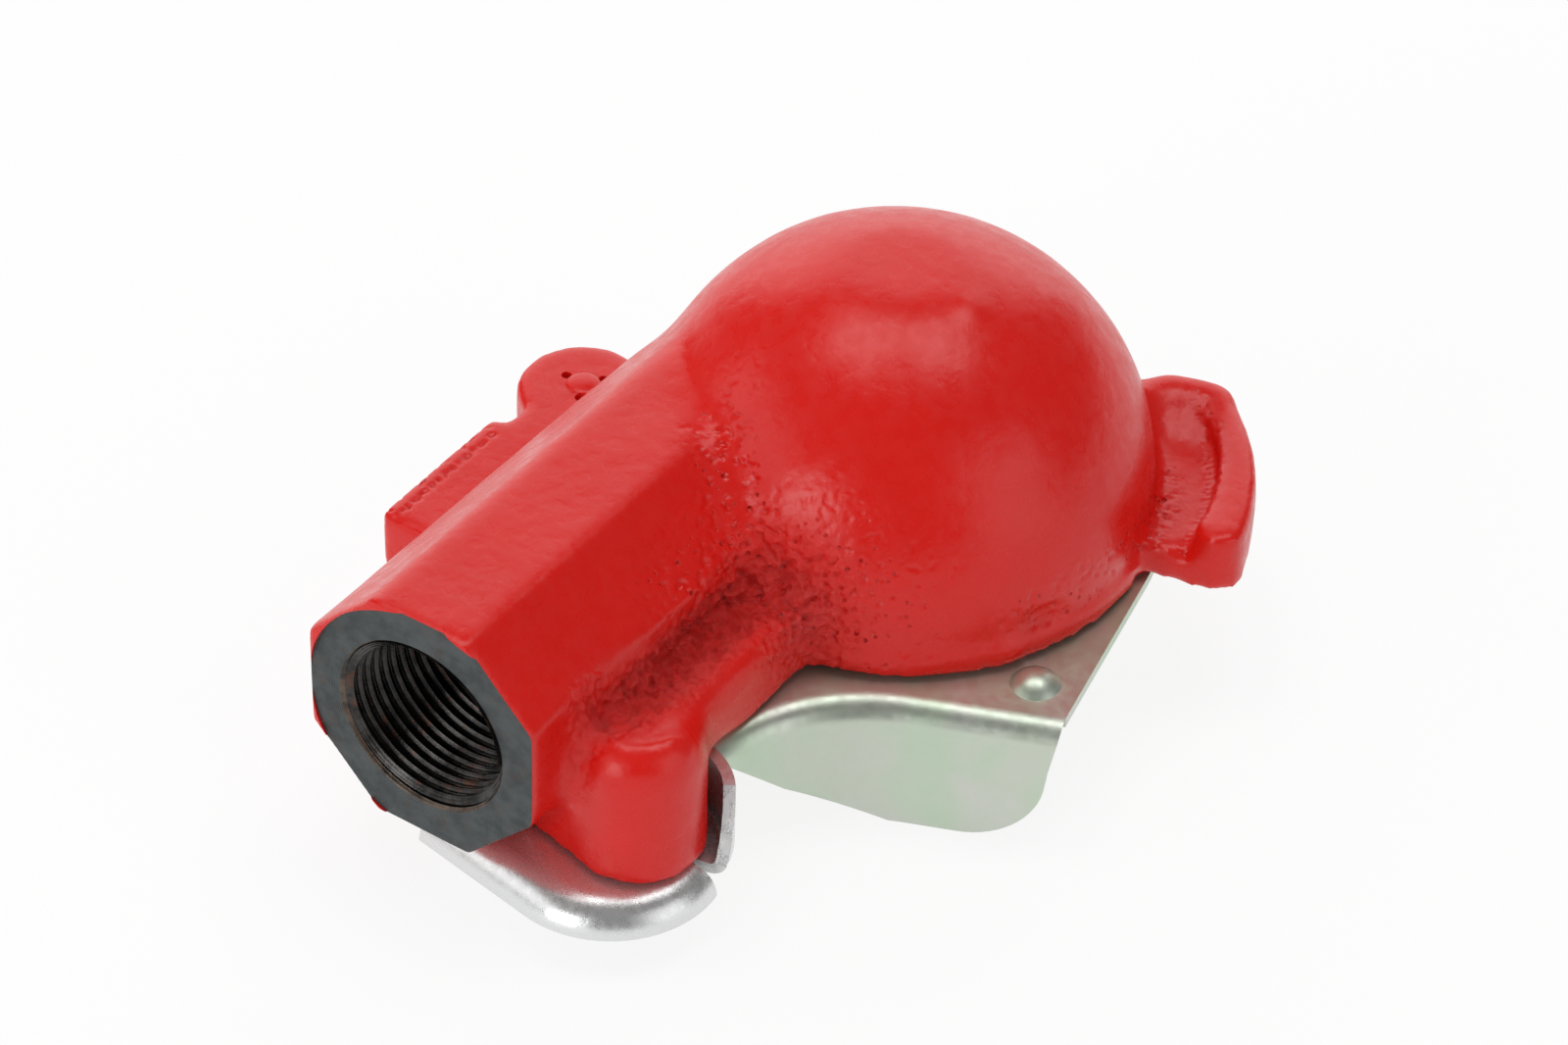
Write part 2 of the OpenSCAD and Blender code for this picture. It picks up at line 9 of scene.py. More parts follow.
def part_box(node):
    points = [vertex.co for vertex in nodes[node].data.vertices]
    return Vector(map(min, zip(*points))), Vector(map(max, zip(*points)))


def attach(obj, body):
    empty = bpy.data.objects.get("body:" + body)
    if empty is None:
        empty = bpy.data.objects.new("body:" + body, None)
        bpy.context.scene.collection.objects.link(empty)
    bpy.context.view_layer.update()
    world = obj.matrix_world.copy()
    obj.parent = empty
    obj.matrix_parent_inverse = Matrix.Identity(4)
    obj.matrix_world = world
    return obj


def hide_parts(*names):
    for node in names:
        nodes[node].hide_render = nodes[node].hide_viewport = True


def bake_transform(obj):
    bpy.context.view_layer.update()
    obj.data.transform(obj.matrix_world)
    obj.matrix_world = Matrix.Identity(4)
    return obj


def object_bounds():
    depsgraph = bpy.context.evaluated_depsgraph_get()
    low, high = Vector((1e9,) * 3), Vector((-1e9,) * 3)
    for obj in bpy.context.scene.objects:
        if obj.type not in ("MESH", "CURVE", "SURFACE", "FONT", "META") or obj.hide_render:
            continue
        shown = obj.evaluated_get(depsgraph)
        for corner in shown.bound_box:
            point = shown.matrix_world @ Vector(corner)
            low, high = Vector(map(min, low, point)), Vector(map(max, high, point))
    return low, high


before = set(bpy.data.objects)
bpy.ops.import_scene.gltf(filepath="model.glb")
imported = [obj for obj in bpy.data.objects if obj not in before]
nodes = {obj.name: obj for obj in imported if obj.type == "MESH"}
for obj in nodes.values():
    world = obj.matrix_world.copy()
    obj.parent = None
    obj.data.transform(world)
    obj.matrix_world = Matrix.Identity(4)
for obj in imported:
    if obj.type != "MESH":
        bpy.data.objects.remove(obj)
cad_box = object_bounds()
scene = bpy.context.scene

MM = 0.001

# Sizes of the solids that the looks follow, in millimetres
NECK_X, NECK_Z, NECK_AF = -15.4, 7.6, 31.6
CAST_END, SPOT_Y = -71.5, -71.0
SPOT_X, SPOT_Z, SPOT_R = -14.65, 7.15, 16.3
PORT_R, PORT_MOUTH_R, PORT_END = 11.0, 11.4, -53.0
PASSAGE_R, PASSAGE_END = 6.5, -19.5
DOME_R, DOME_Z, DOME_TOP = 31.0, 5.3, 35.49
CAVITY_R, CAVITY_FLOOR, THROAT_R = 26.0, 6.5, 10.3
SEAL_R, SEAL_DEPTH, FLANGE_R = 19.5, 4.5, 20.8
EAR_X, EAR_Y, EAR_TOP = -36.7, -11.7, 8.0
BALL_BORE, PLUG_R, PLUG_BOTTOM = 2.28, 2.8, 6.45
PIVOT_X, PIVOT_Y, BOSS_BOTTOM, PIN_R, PIN_TOP = 4.9, -57.5, -8.5, 3.0, 3.0
BOSS_R, BOSS_TOP, BOSS_ROUND = 8.0, 11.5, 5.0
RIB_X, RIB_TOP = 9.0, 9.5
CLAW_TOP, CLAW_FAR_END, CLAW_SPAN = 8.0, 52, 38
CLAW_RIM_R, CLAW_RIM_SHIFT, CLAW_RIM_ROUND, CLAW_RIM_SINK = 40.0, 1.9, 1.9, 0.1
GUIDE_EDGE = -41.6

# Plain forms that close the bores while the skin is made, and are cut open again after it
CHAMBER_FILL_R, CHAMBER_FILL_TOP, DOME_FILL_R = 21.5, 8, 28.5
PIN_FILL_R, PIN_FILL_TOP, PLUG_FILL_R = 4, 5, 4
PORT_FILL_R, PORT_FILL_START, PORT_FILL_END = 13, -56.0, -26.0

# Forms of the real casting that the solids leave to the looks
CLAW_LIP = ((16.6, 26.8, 5.8), (18.7, 30.8, 6.1), (24.4, 32.6, 5.9))
CLAW_RAMP = ((18.6, 25.4, 3.0), (26.0, 28.6, 3.3))
CLAW_LIP_R = 2.7
CLAW_TURNS = (16, 22, 28, 36, 44, 51)
SHOULDER_X, SHOULDER_Z, SHOULDER_R = -6.9, 12.9, 12.3
SHOULDER_START, SHOULDER_END, SHOULDER_TIP = -70.0, -64.5, -60.0
RIDGE = ((2.4, -60.0, 6.4), (5.0, -59.6, 8.5), (6.8, -57.4, 8.5), (7.1, -53.0, 8.2), (7.0, -33.0, 8.0))
RIDGE_R = 2.0
CREST, CREST_R = ((5.2, -57.6, 7.6), (6.2, -50.0, 7.1)), 2.7
BANK = ((0.0, 0.5), (0.0, 8.3), (2.0, 8.5), (6.2, 10.0), (8.2, 9.2), (8.2, 0.5))
BANK_START, BANK_END = -58.5, -27.0
NECK_TIP, NECK_WHOLE = 17, 40

# Places of the casting's rough and soft spots
VALLEY_X, VALLEY_Y = 2.6, -43.0
CREASE_X, CREASE_Y = 2.2, -60.5
RIB_CORNER, DOME_FOOT, RIB_FOOT = (5, -29.5, 8), (10, -28, 9), (6, -31, 6)
BROW, LIP_MIDDLE = (4.4, -58.8, 9.6), (21.5, 28, 6)
TOP_SWELL, SKIRT_SWELL = (9.9, -0.6, 34.6), (26.6, -15.4, 1.8)
NECK_EDGE_X = NECK_X - 6.5
DOME_RIM_R = 32
GROOVE_X = -39.6

# Thread, plug and the plug's stake dents
THREAD_PITCH, THREAD_CREST, THREAD_STEPS = 1.5, 10.19, 56
THREAD_LEAD, THREAD_RUNOUT, THREAD_SINK = 0.3, 0.6, 0.06
THREAD_FOOT, THREAD_FLAT, THREAD_FADE = 0.70, 0.10, 0.4
STAKE_R, STAKE_TURNS = 2.6, (177, 57, -63)
STAKE_DENT = ((0, -1.3), (0.45, -1.1), (0.8, 0.6), (0, 0.6))
PLUG_DOME_R, PLUG_DOME_H, PLUG_SINK = 2.1, 0.5, 0.1

# Depths of the cast relief, in millimetres
BROAD_WAVE, FINE_WAVE, SKIN_SINK = 0.12, 0.025, 0.10
BROAD_LUMP, SHARP_LUMP, BANK_SINK = 0.35, 0.95, 0.1
PIN_DEPTH, BEND_DEPTH, GROOVE_DEPTH = 0.28, 0.7, 0.4
TOP_SWELL_H, SKIRT_SWELL_H = 0.35, 0.45
RIPPLE_DEPTH, RIPPLE_COUNT = 0.05, 260

# The skin: its grain, where a zone ends, and how many times its corners are rounded
SKIN_VOXEL = 0.68
ZONE_EDGE = 0.12
EVEN_ROUNDS, SEAM_ROUNDS, BOSS_ROUNDS, NECK_ROUNDS = 3, 40, 60, 9

# Finishes of the casting's faces, in the order of its materials; the port's bore is painted near black, as
# painted shade deep in the port
PAINTED, SPOT_FACED, SHADED_BORE, BARE, CHAMFERED = range(5)
SHADED_BORE_END = -26


def link(name, mesh):
    """Puts a new piece into the scene."""
    made = bpy.data.objects.new(name, mesh)
    scene.collection.objects.link(made)
    return made


def bake(piece):
    """Applies a new piece's modifiers to its mesh."""
    depsgraph = bpy.context.evaluated_depsgraph_get()
    done = bpy.data.meshes.new_from_object(piece.evaluated_get(depsgraph))
    piece.modifiers.clear()
    piece.data = done
    return piece


def joined_copy(node, name):
    """A new piece with a node's form, its vertices joined."""
    mesh = nodes[node].data.copy()
    mesh.materials.clear()
    form = bmesh.new()
    form.from_mesh(mesh)
    bmesh.ops.remove_doubles(form, verts=form.verts, dist=1e-6)
    form.to_mesh(mesh)
    form.free()
    if mesh.has_custom_normals:
        mesh.attributes.remove(mesh.attributes["custom_normal"])
    return link(name, mesh)


def lathe(profile, origin, along, steps=96):
    """A closed turned form as a bmesh: (radius, height) pairs in millimetres, both ends on the axis."""
    form = bmesh.new()
    rings = []
    for r, h in profile:
        turn = [0.0] if r == 0 else [2 * math.pi * k / steps for k in range(steps)]
        ring = []
        for a in turn:
            flat = (r * math.cos(a), r * math.sin(a))
            place = (flat[0], flat[1], h) if along == "Z" else (flat[0], h, flat[1])
            ring.append(form.verts.new((Vector(origin) + Vector(place)) * MM))
        rings.append(ring)
    for low, high in zip(rings, rings[1:]):
        for k in range(steps):
            n = (k + 1) % steps
            corners = [low[k % len(low)], low[n % len(low)], high[n % len(high)], high[k % len(high)]]
            form.faces.new(list(dict.fromkeys(corners)))
    bmesh.ops.recalc_face_normals(form, faces=form.faces)
    return form


def rod(radius, start, end, origin, along, steps=96):
    """A plain round form from one height to another."""
    return lathe([(0, start), (radius, start), (radius, end), (0, end)], origin, along, steps)


def arc(radius, height, start, end, steps):
    """Points of a round profile about a place on the axis, angles in degrees from the radius."""
    turn = [math.radians(start + (end - start) * k / steps) for k in range(steps + 1)]
    return [(round(radius * math.cos(a), 6), height + radius * math.sin(a)) for a in turn]


def bar(start, end, radius):
    """A bar with round ends, in millimetres."""
    form = bmesh.new()
    for place in (start, end):
        bmesh.ops.create_uvsphere(form, u_segments=24, v_segments=12, radius=radius * MM,
                                  matrix=Matrix.Translation(Vector(place) * MM))
    hull = bmesh.ops.convex_hull(form, input=form.verts)
    spare = {part for part in hull["geom_interior"] + hull["geom_unused"]
             if isinstance(part, bmesh.types.BMVert)}
    bmesh.ops.delete(form, geom=list(spare), context="VERTS")
    return form


def slab(outline, start, end):
    """An outline of (x, z) points drawn out along Y, in millimetres."""
    form = bmesh.new()
    ends = [[form.verts.new(Vector((x, y, z)) * MM) for x, z in outline] for y in (start, end)]
    count = len(outline)
    for k in range(count):
        n = (k + 1) % count
        form.faces.new((ends[0][k], ends[0][n], ends[1][n], ends[1][k]))
    form.faces.new(ends[0])
    form.faces.new(ends[1])
    bmesh.ops.recalc_face_normals(form, faces=form.faces)
    return form


def chain(places, radius):
    """Round bars from each place to the next."""
    return [bar(a, b, radius) for a, b in zip(places, places[1:])]


def rim_line(turn):
    """Radius of the middle of the claw's rim, which is thicker at its near end; the angle in degrees."""
    return CLAW_RIM_R - CLAW_RIM_SHIFT * ((CLAW_FAR_END - turn) / CLAW_SPAN) ** 2


def claw_foot(place):
    """Radius of the inner foot of the claw's rim."""
    return rim_line(np.degrees(np.arctan2(place[:, 1], place[:, 0]))) - CLAW_RIM_ROUND


def neck_length(start, length):
    """A stretch of the eight-sided neck."""
    reach = NECK_AF / 2 / math.cos(math.pi / 8)
    form = rod(reach, 0, length, (0, 0, 0), "Y", steps=8)
    bmesh.ops.rotate(form, verts=form.verts, cent=(0, 0, 0), matrix=Matrix.Rotation(math.pi / 8, 3, "Y"))
    bmesh.ops.translate(form, verts=form.verts, vec=Vector((NECK_X, start, NECK_Z)) * MM)
    return form


def add(piece, forms):
    """Adds closed forms to a piece and makes one skin of them all."""
    whole = bmesh.new()
    whole.from_mesh(piece.data)
    for form in forms:
        spare = bpy.data.meshes.new("filler")
        form.to_mesh(spare)
        form.free()
        whole.from_mesh(spare)
        bpy.data.meshes.remove(spare)
    whole.to_mesh(piece.data)
    whole.free()
    remesh = piece.modifiers.new("remesh", "REMESH")
    remesh.mode = "VOXEL"
    remesh.voxel_size = SKIN_VOXEL * MM
    bake(piece)


def piece_of(form, name):
    """A new piece from a finished form."""
    mesh = bpy.data.meshes.new(name)
    form.to_mesh(mesh)
    form.free()
    return link(name, mesh)


def cut(piece, form, name):
    """Cuts a turned form out of a piece."""
    cutter = piece_of(form, name)
    mesh = cutter.data
    boolean = piece.modifiers.new(name, "BOOLEAN")
    boolean.operation = "DIFFERENCE"
    boolean.solver = "MANIFOLD"
    boolean.object = cutter
    bake(piece)
    bpy.data.objects.remove(cutter)
    bpy.data.meshes.remove(mesh)


def refine(mesh, zone, cuts):
    """Splits the faces of a zone, so that they can carry fine relief."""
    form = bmesh.new()
    form.from_mesh(mesh)
    form.verts.ensure_lookup_table()
    inside = zone(points(mesh)) > ZONE_EDGE
    edges = [e for e in form.edges if inside[e.verts[0].index] and inside[e.verts[1].index]]
    bmesh.ops.subdivide_edges(form, edges=edges, cuts=cuts, use_grid_fill=True)
    form.to_mesh(mesh)
    form.free()


def relax(place, edges, weight, rounds):
    """Moves each vertex towards the middle of its neighbours, by its weight."""
    count = len(place)
    degree = np.bincount(edges.ravel(), minlength=count)
    for _ in range(rounds):
        for k in range(3):
            near = np.bincount(edges[:, 0], place[edges[:, 1], k], count)
            near += np.bincount(edges[:, 1], place[edges[:, 0], k], count)
            place[:, k] += 0.5 * weight * (near / degree - place[:, k])


def grain(place, scale, seed):
    """Smooth noise from -1 to 1 at each point."""
    shift = Vector((17.3 * seed, 5.1 * seed, 9.7 * seed))
    return np.array([noise.noise(Vector(p) * scale + shift) for p in place])


def step(low, high, value):
    """Rises smoothly from 0 at low to 1 at high, which may be the smaller one."""
    t = np.clip((value - low) / (high - low), 0, 1)
    return t * t * (3 - 2 * t)


def within(low, high, fade, value):
    """1 between two values, with smooth edges inside them."""
    return step(low, low + fade, value) * step(high, high - fade, value)


def points(mesh):
    """The vertices' places in millimetres, as rows."""
    place = np.zeros(len(mesh.vertices) * 3)
    mesh.vertices.foreach_get("co", place)
    return place.reshape(-1, 3) / MM


def dome_gap(place):
    """Distance out of the dome's round surface."""
    return np.linalg.norm(place - np.array((0, 0, DOME_Z)), axis=1) - DOME_R


def neck_gap(place):
    """Distance out of the eight-sided neck."""
    x, z = np.abs(place[:, 0] - NECK_X), np.abs(place[:, 2] - NECK_Z)
    return np.maximum(np.maximum(x, z), (x + z) / math.sqrt(2)) - NECK_AF / 2


def bump_at(place, centre, size):
    """1 at a centre, falling away round it."""
    return np.exp(-((place - np.array(centre)) ** 2).sum(1) / (2 * size * size))


def most(*weights):
    """The greatest of several weights at each point, from 0 to 1."""
    return np.clip(np.max(weights, axis=0), 0, 1)


def boss_gap(place):
    """Distance out of the round-topped boss."""
    out = np.hypot(place[:, 0] - PIVOT_X, place[:, 1] - PIVOT_Y) - (BOSS_R - BOSS_ROUND)
    up = place[:, 2] - (BOSS_TOP - BOSS_ROUND)
    return np.hypot(np.maximum(out, 0), np.maximum(up, 0)) - BOSS_ROUND


def coarse_zone(place):
    """Where the casting is coarse and granular: the hollow between the rib and the neck."""
    x, y, z = place.T
    hollow = np.exp(-((x - VALLEY_X) / 4.2) ** 4 - ((y - VALLEY_Y) / 17) ** 6)
    hollow *= step(1.5, 3.5, z) * step(13.5, 10.0, z)
    crease = np.exp(-((x - CREASE_X) / 2.4) ** 2 - ((y - CREASE_Y) / 4) ** 2) * step(0, 3, z)
    return most(hollow, 0.8 * crease, bump_at(place, RIB_CORNER, 5))


def pin_zone(place):
    """Where the casting has scattered pinholes: by the neck's end, the guide's edges and the claw."""
    x, y, z = place.T
    out, by_neck = np.hypot(x, y), neck_gap(place)

    # The seam of the dome and the neck, and the neck's side above the bank
    seam = np.exp(-(dome_gap(place) ** 2 + by_neck ** 2) / 22) * step(-50, -42, y) * step(-16, -5, x)
    seam *= step(0, -8, y)
    beside = np.exp(-(by_neck / 1.5) ** 2) * step(-8, 0.5, x) * step(-54, -40, y) * step(-20, -26, y)

    # The guide's outer edge, the claw's channel and the dome's foot beside it
    edge = np.exp(-(x - GUIDE_EDGE) ** 2) * step(-20, -24, y) * step(4, 6, z)
    channel = np.exp(-((out - claw_foot(place)) / 1.2) ** 2) * step(3, 4, z) * step(18, 24, x)
    channel *= step(2, 8, y)
    by_dome = np.exp(-((out - DOME_RIM_R) / 1.6) ** 2) * step(3, 4, z) * step(12, 8, z) * step(24, 28, x)
    return most(seam, bump_at(place, DOME_FOOT, 8), 0.9 * beside, edge, 0.5 * channel, by_dome)


def fine_zone(place):
    """Where the casting's relief needs a finer skin than elsewhere."""
    x, y, z = place.T
    groove = np.exp(-((x - GROOVE_X) / 1.2) ** 4) * within(-48, -21, 2, y) * step(5, 6, z)
    return np.maximum(pin_zone(place), groove) * (coarse_zone(place) < ZONE_EDGE)


def cast_form():
    """The solid with its bores closed and the cast forms added, as one skin."""
    piece = joined_copy("body", "body_skin")
    fillers = [
        lathe([(0, 0.0), (CHAMBER_FILL_R, 0.0), (CHAMBER_FILL_R, CHAMBER_FILL_TOP)]
              + arc(DOME_FILL_R, DOME_Z, 10, 90, 24), (0, 0, 0), "Z"),
        rod(PIN_FILL_R, BOSS_BOTTOM, PIN_FILL_TOP, (PIVOT_X, PIVOT_Y, 0), "Z"),
        rod(PLUG_FILL_R, 0.0, EAR_TOP, (EAR_X, EAR_Y, 0), "Z"),
        rod(PORT_FILL_R, PORT_FILL_START, PORT_FILL_END, (NECK_X, 0, NECK_Z), "Y"),
    ]
    rim = []
    for turn in CLAW_TURNS:
        r, a = rim_line(turn), math.radians(turn)
        rim.append((r * math.cos(a), r * math.sin(a), CLAW_TOP - CLAW_RIM_ROUND - CLAW_RIM_SINK))
    bars = chain(RIDGE, RIDGE_R) + chain(CREST, CREST_R)
    bars += chain(CLAW_LIP, CLAW_LIP_R) + chain(CLAW_RAMP, CLAW_LIP_R) + chain(rim, CLAW_RIM_ROUND)
    add(piece, fillers + bars + [slab(BANK, BANK_START, BANK_END), neck_length(CAST_END, NECK_TIP)])
    cut(piece, lathe([(0, SHOULDER_START), (SHOULDER_R, SHOULDER_START), (SHOULDER_R, SHOULDER_END),
                      (0, SHOULDER_TIP)], (SHOULDER_X, 0, SHOULDER_Z), "Y"), "shoulder_cut")
    add(piece, [neck_length(CAST_END, NECK_WHOLE)])
    return piece


def soften(mesh):
    """Rounds the casting's corners, most where its forms run into each other."""
    place = points(mesh)
    edges = np.zeros(len(mesh.edges) * 2, dtype=np.int32)
    mesh.edges.foreach_get("vertices", edges)
    edges = edges.reshape(-1, 2)
    relax(place, edges, np.ones(len(place)), EVEN_ROUNDS)

    # The dome's top and the seams of the dome, the neck and the rib
    x, y, z = place.T.copy()
    seam = np.exp(-(dome_gap(place) ** 2 + neck_gap(place) ** 2) / 24) * step(-50, -44, y)
    foot = bump_at(place, RIB_FOOT, 5)
    apex = bump_at(place, (0, 0, DOME_TOP), 8)
    crest = np.exp(-((x - RIB_X) ** 2 + (z - RIB_TOP) ** 2) / 6) * within(-58, -26, 4, y)
    relax(place, edges, most(seam, foot, apex, crest), SEAM_ROUNDS)

    # The boss where it runs into the neck and the rib, the claw's lip and the neck's left edge
    x, y, z = place.T.copy()
    by_boss = bump_at(place, (PIVOT_X + 2, PIVOT_Y + 5, 6), 5) * step(-7, -3, z)
    by_neck = np.exp(-(boss_gap(place) ** 2 + neck_gap(place) ** 2) / 10) * step(-7, -4, z)
    by_rib = np.exp(-(boss_gap(place) ** 2 + (x - RIB_X) ** 2) / 20) * step(-58, -54, y) * step(-7, -2, z)
    lip, brow = bump_at(place, LIP_MIDDLE, 5.5), bump_at(place, BROW, 3.4)
    neck_edge = np.exp(-((x - NECK_EDGE_X) ** 2 + (z - NECK_Z - NECK_AF / 2) ** 2) / 10)
    neck_edge *= step(-20, -26, y) * step(-71, -69, y)
    relax(place, edges, most(0.5 * by_boss, by_neck, by_rib, lip, brow), BOSS_ROUNDS)
    relax(place, edges, most(neck_edge), NECK_ROUNDS)
    mesh.vertices.foreach_set("co", (place * MM).ravel())


def roughen(mesh):
    """Gives the skin a sand casting's waves, lumps and pits, inside the solid's box."""
    place = points(mesh)
    x, y, z = place.T.copy()
    normal = np.zeros(len(mesh.vertices) * 3)
    mesh.vertices.foreach_get("normal", normal)
    coarse, pins, out = coarse_zone(place), pin_zone(place), np.hypot(x, y)
    height = BROAD_WAVE * grain(place, 0.07, 1) + FINE_WAVE * grain(place, 0.3, 2) - SKIN_SINK
    height += coarse * (BROAD_LUMP * grain(place, 0.5, 3) + SHARP_LUMP * grain(place, 1.1, 4) - BANK_SINK)
    height -= PIN_DEPTH * pins * step(0.24, 0.45, grain(place, 1.15, 5))
    height += TOP_SWELL_H * bump_at(place, TOP_SWELL, 1.5)
    height += SKIRT_SWELL_H * bump_at(place, SKIRT_SWELL, 1.6)

    # The claw's channel: a sunk line along the rim's foot, and fine tool marks on its floor
    claw = step(18, 22, x)
    bend = np.exp(-((out - claw_foot(place)) / 0.9) ** 2) * step(7.2, 5.5, z) * step(3, 4, z)
    ripple = np.sin(np.arctan2(y, x) * RIPPLE_COUNT) * step(31, 33, out) * step(6, 5, z) * step(3.5, 4, z)
    height += claw * (RIPPLE_DEPTH * ripple - BEND_DEPTH * bend)

    # The row of small pits along the guide
    broken = 0.2 + 0.8 * step(0.0, 0.3, grain(place, 1.5, 6))
    groove = np.exp(-((x - GROOVE_X) / 0.35) ** 2) * within(-45, -24, 1, y) * step(6, 6.5, z)
    height -= GROOVE_DEPTH * broken * groove
    place += normal.reshape(-1, 3) * height[:, None]
    low, high = (np.array(v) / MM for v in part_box("body"))
    mesh.vertices.foreach_set("co", (np.clip(place, low, high) * MM).ravel())
    mesh.update()


def cast_skin():
    """The painted casting: the solid with the soft corners and the uneven surface of a sand casting."""
    piece = cast_form()
    soften(piece.data)
    refine(piece.data, coarse_zone, 2)
    refine(piece.data, fine_zone, 1)
    piece.data.update()
    roughen(piece.data)
    return piece


def punch(piece):
    """The three punched dents that hold the plug, half in the ear and half in the plug."""
    for k, turn in enumerate(STAKE_TURNS):
        a = math.radians(turn)
        place = (EAR_X + STAKE_R * math.cos(a), EAR_Y + STAKE_R * math.sin(a), 0)
        cut(piece, lathe([(r, EAR_TOP + h) for r, h in STAKE_DENT], place, "Z", 12), f"dent_{k}")


def plug():
    """The staked plug with its slightly domed top."""
    edge = EAR_TOP - PLUG_SINK
    bulge = [(PLUG_DOME_R * math.cos(a), edge + PLUG_DOME_H * math.sin(a))
             for a in (math.radians(10 * k) for k in range(9))]
    piece = piece_of(lathe([(0, PLUG_BOTTOM), (PLUG_R, PLUG_BOTTOM), (PLUG_R, edge)] + bulge
                           + [(0, edge + PLUG_DOME_H)], (EAR_X, EAR_Y, 0), "Z", 48), "plug_top")
    punch(piece)
    return piece


def machine(piece):
    """The machined places of the casting, cut with crisp edges."""
    over = 1.0
    cut(piece, rod(SPOT_R, CAST_END - over, SPOT_Y, (SPOT_X, 0, SPOT_Z), "Y"), "spot_cut")
    mouth = PORT_MOUTH_R - PORT_R
    bottom = PORT_END + PORT_R - PASSAGE_R
    cut(piece, lathe([(0, SPOT_Y - over), (PORT_MOUTH_R, SPOT_Y - over), (PORT_MOUTH_R, SPOT_Y),
                      (PORT_R, SPOT_Y + mouth), (PORT_R, PORT_END), (PASSAGE_R, bottom),
                      (PASSAGE_R, PASSAGE_END), (0, PASSAGE_END)], (NECK_X, 0, NECK_Z), "Y"), "port_cut")
    rim = math.degrees(math.asin((CAVITY_FLOOR - DOME_Z) / CAVITY_R))
    cut(piece, lathe([(0, -over), (SEAL_R, -over), (SEAL_R, SEAL_DEPTH / 2), (FLANGE_R, SEAL_DEPTH / 2),
                      (FLANGE_R, SEAL_DEPTH), (THROAT_R, SEAL_DEPTH), (THROAT_R, CAVITY_FLOOR)]
                     + arc(CAVITY_R, DOME_Z, rim, 90, 24), (0, 0, 0), "Z"), "chamber_cut")
    cut(piece, lathe([(0, -over), (BALL_BORE, -over), (BALL_BORE, PLUG_BOTTOM), (PLUG_R, PLUG_BOTTOM),
                      (PLUG_R, EAR_TOP + over), (0, EAR_TOP + over)],
                     (EAR_X, EAR_Y, 0), "Z", 48), "detent_cut")
    cut(piece, rod(PIN_R, BOSS_BOTTOM - over, PIN_TOP, (PIVOT_X, PIVOT_Y, 0), "Z", 64), "pin_cut")
    punch(piece)


def thread():
    """The turns of the port's thread, one ridge that runs out at both ends."""
    first, last = SPOT_Y + THREAD_LEAD, PORT_END - THREAD_RUNOUT
    count = int((last - first) / THREAD_PITCH * THREAD_STEPS)
    fade = THREAD_FADE * THREAD_STEPS
    wall = PORT_R + THREAD_SINK
    form = bmesh.new()
    rings = []
    for i in range(count + 1):
        a = 2 * math.pi * i / THREAD_STEPS
        y = first + THREAD_PITCH * i / THREAD_STEPS
        full = max(min(1.0, i / fade, (count - i) / fade), 0.02)
        crest = wall + (THREAD_CREST - wall) * full
        ring = []
        for r, dy in ((wall, -THREAD_FOOT), (crest, -THREAD_FLAT), (crest, THREAD_FLAT), (wall, THREAD_FOOT)):
            place = Vector((NECK_X + r * math.cos(a), y + dy, NECK_Z + r * math.sin(a)))
            ring.append(form.verts.new(place * MM))
        rings.append(ring)
    for a, b in zip(rings, rings[1:]):
        for k in range(4):
            form.faces.new((a[k], a[(k + 1) % 4], b[(k + 1) % 4], b[k]))
    form.faces.new(rings[0])
    form.faces.new(list(reversed(rings[-1])))
    bmesh.ops.recalc_face_normals(form, faces=form.faces)
    return piece_of(form, "port_thread")


def softened(node, name, width, angle):
    """A new piece with a node's form and its sharp edges slightly rounded."""
    piece = joined_copy(node, name)
    bevel = piece.modifiers.new("edges", "BEVEL")
    bevel.width = width * MM
    bevel.segments = 2
    bevel.limit_method = "ANGLE"
    bevel.angle_limit = math.radians(angle)
    bevel.use_clamp_overlap = True
    bevel.harden_normals = False
    return bake(piece)


def smooth(piece, angle):
    """Smooth shading, with edges above an angle in degrees kept sharp."""
    piece.data.shade_smooth()
    piece.data.set_sharp_from_angle(angle=math.radians(angle))


# Materials

def put(tree, kind, inputs=None, **settings):
    """Adds a node: sockets are linked, and other values are set."""
    made = tree.nodes.new("ShaderNode" + kind)
    for key, value in settings.items():
        setattr(made, key, value)
    for key, value in (inputs or {}).items():
        if isinstance(value, bpy.types.NodeSocket):
            tree.links.new(value, made.inputs[key])
        else:
            made.inputs[key].default_value = value
    return made


def start(name):
    """A new material: its tree, its shader and the place on the object in millimetres."""
    made = bpy.data.materials.new(name)
    made.use_nodes = True
    tree = made.node_tree
    shader = tree.nodes["Principled BSDF"]
    spot = put(tree, "TexCoord").outputs["Object"]
    place = put(tree, "VectorMath", {0: spot, "Scale": 1 / MM}, operation="SCALE").outputs[0]
    return made, tree, shader, place


def speckle(tree, place, scale, detail=2.0, rough=0.5):
    """Noise from 0 to 1, with its scale in grains per millimetre."""
    return put(tree, "TexNoise", {"Vector": place, "Scale": scale, "Detail": detail,
                                  "Roughness": rough}).outputs["Fac"]


def ramp(tree, value, low, high, to_low=0.0, to_high=1.0):
    """A value carried smoothly from one range to another."""
    return put(tree, "MapRange", {"Value": value, "From Min": low, "From Max": high, "To Min": to_low,
                                  "To Max": to_high}, interpolation_type="SMOOTHSTEP").outputs["Result"]


def math_node(tree, operation, a, b):
    """One sum, product or function of two values."""
    return put(tree, "Math", {0: a, 1: b}, operation=operation).outputs[0]


def blend_colors(tree, share, a, b):
    """Colour a with a share of colour b."""
    return put(tree, "Mix", {0: share, 6: a, 7: b}, data_type="RGBA").outputs[2]


